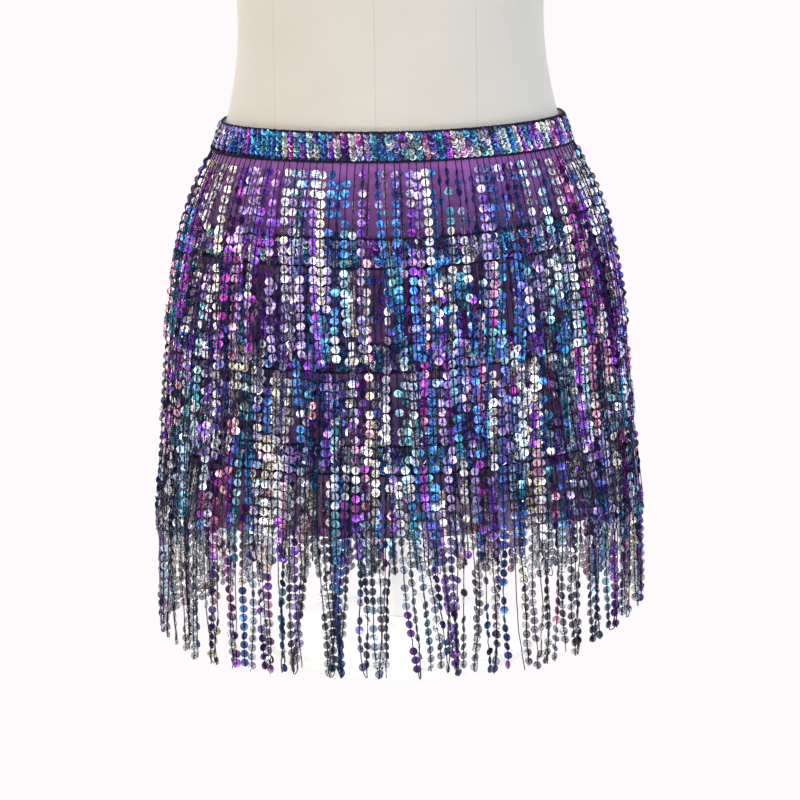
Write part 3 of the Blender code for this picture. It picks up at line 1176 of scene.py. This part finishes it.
@dataclass
class SequinTape:
    """A tape of upright columns of overlapping sequins between two twisted cords."""

    node: str
    drape: Drape
    finishes: Finishes
    seed: int
    column_pitch: float = 5.0 * MM
    column_stray: float = 0.3 * MM
    sequin_pitch: float = 1.8 * MM
    sequin_stray: float = 0.22 * MM
    slant: float = 0.13
    lean: float = math.radians(30)
    lean_stray: float = 0.14
    zigzag: float = 0.45
    zigzag_stray: float = 0.2
    top_cord_up: float = -0.3 * MM
    top_cord_out: float = 1.7 * MM
    bottom_cord_up: float = 0.9 * MM
    bottom_cord_lift: float = 0.7 * MM
    edge: float = 2.0 * MM
    bottom_edge_more: float = 0.4 * MM
    rise: float = 1.7 * MM
    sequin_lift: float = 0.5 * MM
    sequin_lift_stray: float = 0.4 * MM
    cord_ply: float = 0.6 * MM
    cord_twist: float = 3.2 * MM
    cord_steps: int = 4
    cord_wobble: float = 0.15 * MM
    ply_out: float = 0.8
    stitch_radius: float = 0.22 * MM
    stitch_width: float = 0.9 * MM
    stitch_swing: tuple[float, float] = (0.5, 1.1)
    stitch_inset: float = 1.6 * MM
    stitch_lift: float = 1.5 * MM

    def build(self, sequin: Sequin) -> None:
        """Builds the ground, the sequins, their stitches and the cords.

        Args:
            sequin: The tape's own small sequin.
        """
        line = TapeLine(self.node)
        ground = copy_of_node(self.node, self.node + "_ground")
        refine(ground, 1)
        dress(ground, self.finishes.tape_ground)
        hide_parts(self.node)
        self.sew_sequins(line, sequin)
        self.lay_cords(line)

    def sew_sequins(self, line: TapeLine, sequin: Sequin) -> None:
        """Sews the columns of sequins, each with a zigzag stitch down its middle.

        Args:
            line: Where the tape runs.
            sequin: The tape's sequin.
        """
        draw = np.random.default_rng(self.seed)
        colours = ColourRuns(self.seed, TAPE_DYE_AND_SHEEN)
        stitches = Threads(self.stitch_radius, 3)
        columns = int(line.length(self.drape, self.rise) / self.column_pitch)
        rows = []
        for angle in self.drape.spaced((np.arange(columns) + 0.5) / columns):
            top, bottom = float(line.top(angle)), float(line.bottom(angle))
            lowest = bottom + self.edge + self.bottom_edge_more
            heights = np.arange(top - self.edge, lowest, -self.sequin_pitch)
            count = len(heights)
            middle = (top + bottom) / 2
            drift = draw.normal(0.0, self.column_stray)
            side = draw.normal(0.0, self.sequin_stray, count) + drift + self.slant * (middle - heights)
            out = self.rise + self.sequin_lift + draw.uniform(0.0, self.sequin_lift_stray, count)
            place, outward, along = self.drape.beside(angle, side, heights, out)
            turned = np.where(np.arange(count) % 2 == 0, self.zigzag, -self.zigzag)
            twist = (turned + draw.normal(0.0, self.zigzag_stray, count))[:, None]
            tilt = self.lean + draw.normal(0.0, self.lean_stray, count)[:, None]
            facing = np.cos(twist) * outward + np.sin(twist) * along
            face = np.cos(tilt) * facing + np.sin(tilt) * UP
            up = np.cos(tilt) * UP - np.sin(tilt) * facing
            rows.append((place, face, up, colours.run(count, TAPE_DYE_AND_SHEEN.leap)))
            self.stitch(stitches, angle, drift, middle, heights, draw)
        centres, faces, ups, places = (np.concatenate(part) for part in zip(*rows))
        left, right = colours.halves(places)
        piece = sequin.string(self.node + "_sequins", centres, faces, ups, left, right)
        dress(piece, self.finishes.tape_film)
        dress(stitches.piece(self.node + "_stitches"), self.finishes.thread)

    def stitch(
        self,
        stitches: Threads,
        angle: float,
        drift: float,
        middle: float,
        heights: np.ndarray,
        draw: np.random.Generator,
    ) -> None:
        """Lays one column's zigzag stitch.

        Args:
            stitches: The tape's stitches so far.
            angle: The column's angle.
            drift: How far the column lies aside.
            middle: The height of the tape's middle.
            heights: The heights of the column's sequins.
            draw: The tape's draws.
        """
        top, bottom = heights[0] + self.stitch_inset, heights[-1] - self.stitch_inset
        turns = np.linspace(top, bottom, 2 * len(heights))
        sign = np.where(np.arange(len(turns)) % 2 == 0, 1.0, -1.0)
        swing = sign * self.stitch_width * draw.uniform(*self.stitch_swing, len(turns))
        side = drift + self.slant * (middle - turns) + swing
        place, outward, _ = self.drape.beside(angle, side, turns, self.rise + self.stitch_lift)
        stitches.lay(place, outward)

    def lay_cords(self, line: TapeLine) -> None:
        """Lays a two-ply cord along each edge.

        Args:
            line: Where the tape runs.
        """
        plies = Threads(self.cord_ply, 4)
        twists = round(line.length(self.drape, self.rise) / self.cord_twist)
        steps = self.cord_steps * twists
        angles = self.drape.spaced(np.arange(steps) / steps)
        draw = np.random.default_rng(self.seed + 50)
        wobble = draw.normal(0.0, self.cord_wobble, steps)
        edges = (
            (line.top(angles) + self.top_cord_up, self.top_cord_out),
            (line.bottom(angles) + self.bottom_cord_up, self.rise + self.bottom_cord_lift),
        )
        for heights, out in edges:
            for phase in (0.0, math.pi):
                turn = np.arange(steps) * twists * FULL_TURN / steps + phase
                place, outward, _ = self.drape.place(angles, heights + wobble, out)
                swing = np.cos(turn)[:, None] * outward
                swing[:, 2] += np.sin(turn)
                plies.lay(place + self.cord_ply * self.ply_out * swing, outward, closed=True)
        dress(plies.piece(self.node + "_cords"), self.finishes.cord)


@dataclass
class Strand:
    """The course of one strand: its points, their directions and how far they hang down."""

    place: np.ndarray
    outward: np.ndarray
    along: np.ndarray
    falls: np.ndarray


class Lie(Enum):
    """How a strand's sequins lie: how far they turn, how much they waver, and how often it is so."""

    FLAT = (0.0, 0.15, 0.50)
    HALF = (0.7, 0.30, 0.28)
    EDGE = (1.2, 0.25, 0.22)

    @property
    def turn(self) -> float:
        """How far the sequins turn away from the front."""
        return self.value[0]

    @property
    def waver(self) -> float:
        """How much they differ."""
        return self.value[1]

    @property
    def share(self) -> float:
        """How many strands lie like this."""
        return self.value[2]


@dataclass(frozen=True)
class Hang:
    """How unevenly strands hang. What ends in loose counts only as far as the tier hangs loose."""

    pitch: tuple[float, float] = (0.975, 1.02)
    first_stray: float = 0.6 * MM
    second_lower: float = 0.5 * MM
    bare_top: float = 6 * MM
    bare_end: float = 3.0 * MM
    shut: tuple[float, ...] = (0.35, 0.7, 0.95)
    shut_shares: tuple[float, ...] = (0.35, 0.35, 0.30)
    lean_stray: float = 0.5 * MM
    root_fall: float = -0.6 * MM
    bend_fall: float = 4.0 * MM
    tail: tuple[float, float] = (2.4 * MM, 4.0 * MM)
    sway: float = 0.35 * MM
    sway_loose: float = 1.5 * MM
    waves: tuple[float, float] = (0.6, 1.3)
    wave_length: float = 22 * MM
    kink: float = 0.10 * MM
    kink_loose: float = 0.30 * MM
    bow: float = 1.4
    lift: tuple[float, float] = (-0.8 * MM, 1.0 * MM)
    lift_gain: float = 2.5
    layer: float = 0.9 * MM
    shortening: float = 2.0 * MM
    shortening_loose: float = 1.2 * MM
    lost: float = 0.02
    lost_loose: float = 0.07
    twist: float = 0.05
    twist_loose: float = 0.12
    rolled: float = 0.08
    rolled_below: float = 0.14
    tilt: tuple[float, float] = (-0.04, 0.15)


@dataclass(frozen=True)
class HemShadeAndShowThrough:
    """Painted shade towards the hem, and the white behind painted through clear film: heights above the
    hem, and shares of colour.
    """

    heights: tuple[float, ...] = (-30 * MM, 20 * MM, 110 * MM, 190 * MM)
    bright: tuple[float, ...] = (0.5, 0.61, 0.88, 1.0)
    free: tuple[float, float] = (-25 * MM, 5 * MM)
    clear_grey: float = 0.85
    other_grey: float = 0.1
    grey_light: float = 0.88


@dataclass
class FringeTier:
    """One tier of sequin strands under a tape. Two neighbours are one yarn that turns at the bottom."""

    node: str
    tape_node: str
    name: str
    drape: Drape
    finishes: Finishes
    seed: int
    dye: DyeAndSheen = STRAND_DYE_AND_SHEEN
    hang: Hang = Hang()
    hem_shade_and_show_through: HemShadeAndShowThrough = HemShadeAndShowThrough()
    length: float = 149 * MM
    strand_pitch: float = 5.0 * MM
    root_stray: float = 0.16
    sequin_pitch: float = 7.0 * MM
    first_sequin: float = 7.8 * MM
    root_standoff: float = 1.6 * MM
    standoff_gain: float = 9.2 * MM
    standoff_reach: float = 55 * MM
    thread_radius: float = 0.45 * MM
    gathering: float = 0.38
    clump_widths: tuple[float, float] = (11.0 * MM, 27.0 * MM)
    furthest_pull: float = 9 * MM
    pull_shares: tuple[float, float] = (0.4, 1.5)
    end_stray: float = 1.2 * MM
    loose: float = 0.45
    bare_share: float = 0.02
    clear_share: float = 0.37
    cut_share: float = 0.3
    slanting_share: float = 0.14
    slanting_spread: float = 7 * MM
    widest_turn: float = 6 * MM
    thread_out: float = 0.65 * MM
    sag_share: float = 0.45
    deepest_sag: float = 1.8 * MM
    floor_gap: float = 6.5 * MM
    trims: Sequence[tuple[float, float]] = ((0.0, 0.0),)
    frays: Sequence[tuple[float, float, float]] = ()
    fray_points: int = 6
    fray_out: float = 9 * MM
    fray_fall: float = 0.85
    fray_spring: float = 0.5
    fray_bow: float = 1.3

    def build(self, sequin: Sequin) -> None:
        """Hangs the strands.

        Args:
            sequin: The strands' sequin.
        """
        line = TapeLine(self.tape_node)
        draw = np.random.default_rng(self.seed)
        colours = ColourRuns(self.seed, self.dye)
        tape_length = line.length(self.drape, 0.0)
        count = 2 * int(tape_length / self.strand_pitch / 2)
        shares = (np.arange(count) + draw.uniform(-self.root_stray, self.root_stray, count)) / count
        roots = self.drape.spaced(shares).reshape(-1, 2)
        shares = shares.reshape(-1, 2)
        pulls = self.gather(draw, shares.mean(axis=1) * tape_length, tape_length)
        threads = Threads(self.thread_radius, 3)
        rows = []
        for pair, pull, (first, second) in zip(roots, pulls, shares):
            spread = self.hang.shortening + self.hang.shortening_loose * self.loose
            shorter = abs(draw.normal(0.0, spread))
            length = self.length + self.trim_at(pair[0]) - shorter
            length = min(length, float(line.bottom(pair[0])) - self.floor_gap)
            gap = (second - first) * tape_length
            shut = draw.choice(self.hang.shut, p=self.hang.shut_shares)
            loop = []
            for half, root in enumerate(pair):
                towards = (1.0, -1.0)[half] * gap * (1 - shut) / 2
                lean = pull + towards + draw.normal(0.0, self.hang.lean_stray)
                strand = self.course(draw, root, lean, length, float(line.bottom(root)), half)
                loop.append(strand)
                if draw.random() < self.bare_share:
                    continue
                worn = self.strung(draw, strand.falls)
                if worn.sum() < 2:
                    continue
                face, up = self.facing(draw, strand, worn)
                leap = TWIN_LEAP if half else self.dye.leap
                rows.append((strand.place[worn], face, up, colours.run(int(worn.sum()), leap)))
            self.tie(draw, threads, loop)
        self.string_up(sequin, colours, rows)
        self.fray(line, threads)
        dress(threads.piece(self.name + "_threads"), self.finishes.thread)

    def string_up(self, sequin: Sequin, colours: ColourRuns, rows: Sequence[tuple]) -> None:
        """Makes the tier's sequins one piece.

        Args:
            sequin: The strands' sequin.
            colours: The tier's colours so far.
            rows: Each strand's centres, faces, upward directions and places along the dye.
        """
        centres, faces, ups, places = (np.concatenate(part) for part in zip(*rows))
        left, right = colours.halves(places)
        clear = np.random.default_rng(self.seed + 90).random(len(rows)) < self.clear_share
        clear = np.repeat(clear, [len(row[0]) for row in rows])[:, None]
        left, right = (self.shaded(tints, centres[:, 2:], clear) for tints in (left, right))
        piece = sequin.string(self.name + "_sequins", centres, faces, ups, left, right)
        dress(piece, self.finishes.strand_film)
        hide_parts(self.node)

    def fray(self, line: TapeLine, threads: Threads) -> None:
        """Adds the short loose ends.

        Args:
            line: Where the tape runs.
            threads: The tier's threads so far.
        """
        for degrees, fall, length in self.frays:
            angle = np.full(self.fray_points, math.radians(degrees))
            share = np.linspace(0.0, 1.0, self.fray_points)
            heights = line.bottom(angle) - fall - self.fray_fall * length * share
            out = self.fray_out + self.fray_spring * length * share**self.fray_bow
            place, outward, _ = self.drape.place(angle, heights, out)
            threads.lay(place, outward)

    def shaded(self, tints: np.ndarray, heights: np.ndarray, clear: np.ndarray) -> np.ndarray:
        """The film as it looks where it hangs: painted shade darkens it near the hem, and clear film is
        painted colourless below it, with the white behind showing through.

        Args:
            tints: Each sequin's colour.
            heights: The sequins' heights.
            clear: Whether a sequin's strand looks colourless where it hangs free.

        Returns:
            The colours.
        """
        look = self.hem_shade_and_show_through
        above_hem = heights - self.drape.heights[0]
        # Painted shade: the film is darker towards the hem, where the fringe above shades it.
        bright = np.interp(above_hem, look.heights, look.bright)
        # Painted light: below the hem the film is greyed, as the white behind shows through clear film.
        free = np.interp(above_hem, look.free, (1.0, 0.0))
        grey = free * np.where(clear, look.clear_grey, look.other_grey)
        plain = look.grey_light * tints.max(axis=1, keepdims=True)
        return bright * (tints * (1 - grey) + plain * grey)

    def trim_at(self, angle: float) -> float:
        """How much longer or shorter the fringe is cut at an angle."""
        degrees, lengths = zip(*self.trims)
        return float(np.interp(math.degrees(angle) % 360.0, degrees, lengths, period=360.0)) * MM

    def gather(self, draw: np.random.Generator, places: np.ndarray, length: float) -> np.ndarray:
        """How far each pair of strands is drawn aside at its end, so that they hang in clumps.

        Args:
            draw: The tier's draws.
            places: Where the pairs hang, as lengths round the tape.
            length: The whole length round the tape.

        Returns:
            Sideways lengths.
        """
        narrow, wide = self.clump_widths
        steps = draw.uniform(narrow, wide, int(length / narrow))
        clumps = np.cumsum(steps)
        clumps = clumps[clumps < length]
        nearest = clumps[np.abs(places[:, None] - clumps[None, :]).argmin(axis=1)]
        strength = self.gathering * draw.uniform(*self.pull_shares, len(places))
        stray = draw.normal(0.0, self.end_stray, len(places))
        slanting = draw.random(len(places)) < self.slanting_share
        stray[slanting] += draw.normal(0.0, self.slanting_spread, slanting.sum())
        return np.clip(nearest - places, -self.furthest_pull, self.furthest_pull) * strength + stray

    def course(
        self, draw: np.random.Generator, root: float, lean: float, length: float, start: float, half: int
    ) -> Strand:
        """Hangs one strand, with a point for its root, for each sequin's place and for its end.

        Args:
            draw: The tier's draws.
            root: The angle at which it hangs.
            lean: How far its end drifts sideways.
            length: Its length.
            start: The height of its root.
            half: 0 for the first strand of a pair, 1 for the second.

        Returns:
            The strand.
        """
        hang = self.hang
        pitch = self.sequin_pitch * draw.uniform(*hang.pitch)
        first = self.first_sequin + draw.normal(0.0, hang.first_stray) + hang.second_lower * half
        falls = np.arange(first, length - hang.bare_end, pitch)
        end = falls[-1] + draw.uniform(*hang.tail)
        falls = np.concatenate([[hang.root_fall, hang.bend_fall], falls, [end]])
        share = np.clip(falls / self.length, 0.0, 1.0)
        phase, wave = draw.uniform(0.0, FULL_TURN), draw.uniform(*hang.waves)
        swing = (hang.sway + hang.sway_loose * self.loose * share) * share
        sway = swing * np.sin(phase + wave * falls / hang.wave_length)
        kinks = draw.normal(0.0, hang.kink + hang.kink_loose * self.loose, len(falls))
        side = lean * share**hang.bow + sway + np.cumsum(kinks) * share
        heights = start - falls
        rise = self.standoff_gain * (1 - np.exp(-np.maximum(falls, 0.0) / self.standoff_reach))
        lift = draw.uniform(*hang.lift) + hang.layer * (half - 0.5)
        out = self.root_standoff + rise + lift * np.minimum(1.0, hang.lift_gain * share)
        return Strand(*self.drape.beside(root, side, heights, out), falls)

    def tie(self, draw: np.random.Generator, threads: Threads, loop: Sequence[Strand]) -> None:
        """Lays the thread of a pair: down one strand and up the other, or cut at the bottom.

        Args:
            draw: The tier's draws.
            threads: The tier's threads so far.
            loop: The two strands.
        """
        down, up = loop
        first, second = (strand.place + strand.outward * self.thread_out for strand in loop)
        a, b = first[-1], second[-1]
        if draw.random() < self.cut_share or np.linalg.norm(a - b) > self.widest_turn:
            threads.lay(first, down.outward)
            threads.lay(second, up.outward)
            return
        sag = -min(self.deepest_sag, self.sag_share * float(np.linalg.norm(a - b))) * UP
        bends = ((0.12, 0.6), (0.5, 1.0), (0.88, 0.6))
        turn = [(1 - share) * a + share * b + dip * sag for share, dip in bends]
        side = np.repeat(down.outward[-1:], len(turn), axis=0)
        course = np.concatenate([first, turn, second[::-1]])
        threads.lay(course, np.concatenate([down.outward, side, up.outward[::-1]]))

    def strung(self, draw: np.random.Generator, falls: np.ndarray) -> np.ndarray:
        """Which points of a strand carry a sequin.

        Args:
            draw: The tier's draws.
            falls: The points' falls below the tape.

        Returns:
            True where a sequin sits.
        """
        keep = (falls > self.hang.bare_top) & (np.arange(len(falls)) < len(falls) - 1)
        share = np.clip(falls / self.length, 0.0, 1.0)
        lost = self.hang.lost + self.hang.lost_loose * self.loose * share**2
        return keep & (draw.random(len(falls)) > lost)

    def facing(
        self, draw: np.random.Generator, strand: Strand, worn: np.ndarray
    ) -> tuple[np.ndarray, np.ndarray]:
        """How each sequin of a strand is turned.

        Args:
            draw: The tier's draws.
            strand: The strand.
            worn: True where a sequin sits.

        Returns:
            The faces' directions and their own upward directions.
        """
        hang = self.hang
        share = np.clip(strand.falls[worn] / self.length, 0.0, 1.0)
        count = len(share)
        lies = list(Lie)
        lie = lies[draw.choice(len(lies), p=[one.share for one in lies])]
        drift = np.cumsum(draw.normal(0.0, hang.twist + hang.twist_loose * self.loose, count))
        twist = draw.choice([-1.0, 1.0]) * lie.turn + drift + draw.normal(0.0, lie.waver, count)
        rolled = draw.random(count) < hang.rolled + hang.rolled_below * share
        twist[rolled] = draw.uniform(-math.pi / 2, math.pi / 2, rolled.sum())
        tilt = draw.normal(*hang.tilt, count)[:, None]
        twist = twist[:, None]
        down = np.gradient(strand.place, axis=0)[worn]
        up = -down / np.linalg.norm(down, axis=1, keepdims=True)
        level = np.cos(twist) * strand.outward[worn] + np.sin(twist) * strand.along[worn]
        level -= (level * up).sum(axis=1, keepdims=True) * up
        face = np.cos(tilt) * level + np.sin(tilt) * up
        return face / np.linalg.norm(face, axis=1, keepdims=True), up


@dataclass(frozen=True)
class SoftBox:
    """One square soft box that the camera doesn't see: where it hangs, its side and its watts."""

    name: str
    place: tuple[float, float, float]
    size: float
    power: float
    colour: tuple[float, float, float] = (1.0, 1.0, 1.0)
    target: tuple[float, float, float] = (0.0, 0.0, 0.25)

    def hang(self) -> None:
        """Hangs the light and turns it to its target."""
        lamp = bpy.data.lights.new(self.name, "AREA")
        lamp.shape = "SQUARE"
        lamp.size = self.size
        lamp.energy = self.power
        lamp.color = self.colour
        holder = bpy.data.objects.new(self.name, lamp)
        holder.location = self.place
        aim = Vector(self.target) - Vector(self.place)
        holder.rotation_euler = aim.to_track_quat("-Z", "Y").to_euler()
        holder.visible_camera = False
        bpy.context.scene.collection.objects.link(holder)


SOFT_BOXES = (
    SoftBox("warm_left", (-1.8, -1.5, 1.2), 0.9, 21.0, (1.0, 0.84, 0.56)),
    SoftBox("cool_right", (1.9, -1.4, 1.1), 0.9, 20.0, (0.68, 0.87, 1.0)),
    SoftBox("front_high", (-0.15, -2.4, 1.05), 0.7, 13.0, (1.0, 0.98, 0.96)),
    SoftBox("overhead", (0.0, -0.3, 2.4), 1.4, 17.0),
    SoftBox("back_left", (-1.5, 2.0, 1.1), 0.9, 20.0, (0.95, 0.97, 1.0)),
    SoftBox("back_right", (1.5, 2.0, 1.1), 0.9, 16.0, (1.0, 0.97, 0.93)),
    SoftBox("side_left", (-2.2, 0.7, 0.35), 1.0, 16.0, (1.0, 0.97, 0.92)),
    SoftBox("side_right", (2.2, 0.7, 0.35), 1.0, 7.0, (0.88, 0.95, 1.0)),
)


@dataclass
class Studio:
    """The white sweep, the soft lights and the camera at the photograph's angle."""

    band_top: float
    distance: float = 2.0
    rise: float = 0.209
    aside: float = 1.9 * MM
    pitch: float = math.radians(12.07)
    roll: float = math.radians(1.03)
    focal_share: float = 2635 / 800
    sensor: float = 36.0
    white: tuple[float, float, float] = srgb(255, 250, 252)
    board: tuple[float, float, float] = (0.88, 0.87, 0.88)
    room: tuple[float, float, float] = (0.95, 0.97, 1.0)
    glow_share: float = 0.985
    floor_drop: float = 0.5 * MM

    def build(self) -> None:
        """Builds the floor, the lights, the world and the camera."""
        self.lay_floor()
        self.light_world()
        for box in SOFT_BOXES:
            box.hang()
        self.light_foot()
        self.set_camera()
        scene = bpy.context.scene
        scene.view_settings.view_transform = "Standard"
        scene.view_settings.look = "None"

    def lay_floor(self) -> None:
        """Lays a white sweep, which the camera sees as evenly lit and with a faint shadow."""
        deselect_all()
        bpy.ops.mesh.primitive_plane_add(size=80.0, location=(0.0, 0.0, -self.floor_drop))
        floor = bpy.context.active_object
        floor.name = "white_sweep"
        material, graph = new_material("white_sweep")
        seen = graph.add("LightPath").outputs["Is Camera Ray"]
        glow = graph.add("Emission", Color=(*self.white, 1.0), Strength=1.0)
        board = graph.add("BsdfDiffuse", Color=(*self.board, 1.0))
        share = graph.math("MULTIPLY", seen, self.glow_share)
        graph.add("OutputMaterial", Surface=graph.mix(share, board, glow))
        floor.data.materials.append(material)

    def light_world(self) -> None:
        """Gives the world white to the camera, and a soft room to the sequins."""
        world = bpy.data.worlds.new("studio")
        bpy.context.scene.world = world
        world.use_nodes = True
        graph = Graph(world.node_tree)
        seen = graph.add("LightPath").outputs["Is Camera Ray"]
        plain = graph.add("Background", Color=(*self.white, 1.0), Strength=1.0)
        place = graph.add("TexCoord").outputs["Generated"]
        height = graph.add("SeparateXYZ", Vector=place).outputs[2]
        level = graph.ramp(height, -0.05, 0.9, 0.16, 0.55)
        panels = graph.add("TexVoronoi", Vector=place, Scale=5.0)
        chance = graph.add("SeparateColor", Color=panels.outputs["Color"]).outputs[0]
        lit = graph.ramp(chance, 0.60, 0.66, 0.0, 0.86)
        strength = graph.math("ADD", level, lit)
        room = graph.add("Background", Color=(*self.room, 1.0), Strength=strength)
        graph.add("OutputWorld", Surface=graph.mix(seen, room, plain))

    def light_foot(self) -> None:
        """Lights the foot from close under the form, so that it is as white as the sweep."""
        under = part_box("hip_form")[0][2] - 8 * MM
        for name, x in (("foot_right", -0.07), ("foot_left", 0.07)):
            SoftBox(name, (x, 0.0, under), 0.1, 0.16, target=(x, 0.0, 0.0)).hang()
        SoftBox("foot_front", (0.0, -0.7, 0.03), 0.2, 1.6, target=(0.0, 0.0, 0.01)).hang()

    def set_camera(self) -> None:
        """Sets the camera where the photograph was taken."""
        lens = bpy.data.cameras.new("photo_camera")
        lens.sensor_width = self.sensor
        lens.lens = self.focal_share * self.sensor
        camera = bpy.data.objects.new("photo_camera", lens)
        camera.location = (self.aside, -self.distance, self.band_top + self.rise)
        upright = Euler((math.pi / 2 - self.pitch, 0.0, 0.0)).to_matrix()
        camera.rotation_euler = (upright @ Matrix.Rotation(-self.roll, 3, "Z")).to_euler()
        bpy.context.scene.collection.objects.link(camera)
        bpy.context.scene.camera = camera


# How the lowest fringe is trimmed: the angle in degrees, and the change in length in millimetres.
HEM_TRIM = (
    (0.0, 6.0), (25.0, 6.5), (34.0, 10.0), (45.0, 11.5), (52.0, 10.5), (60.0, 7.0), (68.0, 2.0),
    (80.0, -5.0), (90.0, -7.0), (110.0, -4.0), (150.0, 1.0), (240.0, 1.0), (270.0, 1.0), (275.0, 2.0),
    (289.0, 8.0), (305.0, 9.5), (325.0, 7.0),
)
# What differs in a tier. A loose end is an angle in degrees, its fall below the tape and its length.
TIER_CHANGES = {
    2: {"frays": ((84.0, 36 * MM, 12 * MM), (86.0, 39 * MM, 8 * MM))},
    4: {"gathering": 0.62, "loose": 1.0, "trims": HEM_TRIM, "dye": replace(STRAND_DYE_AND_SHEEN, pale=1.7)},
}


def main() -> None:
    """Builds every piece and says how it went."""
    logging.basicConfig(level=logging.INFO, format="%(message)s")
    finishes = Finishes()
    HipForm(finishes).build()
    cloth = SkirtCloth(finishes)
    drape = cloth.build()
    strand_sequin = Sequin(3.2 * MM, 0.5 * MM, 0.08 * MM, 12)
    tape_sequin = Sequin(2.7 * MM, 0.35 * MM, 0.08 * MM, 8)
    band_top = float(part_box("waistband_tape")[1][2])
    sewn_on = []
    for tier in range(1, 5):
        tape = "waistband_tape" if tier == 1 else f"tier{tier}_tape"
        name = f"tier{tier}"
        SequinTape(tape, drape, finishes, 10 + tier).build(tape_sequin)
        changes = TIER_CHANGES.get(tier, {})
        fringe = FringeTier(name + "_fringe", tape, name, drape, finishes, 30 + tier, **changes)
        fringe.build(strand_sequin)
        sewn_on += [tape + part for part in ("_ground", "_sequins", "_stitches", "_cords")]
        sewn_on += [name + part for part in ("_sequins", "_threads")]
    Studio(band_top - 3 * MM).build()


if __name__ == "__main__":
    main()
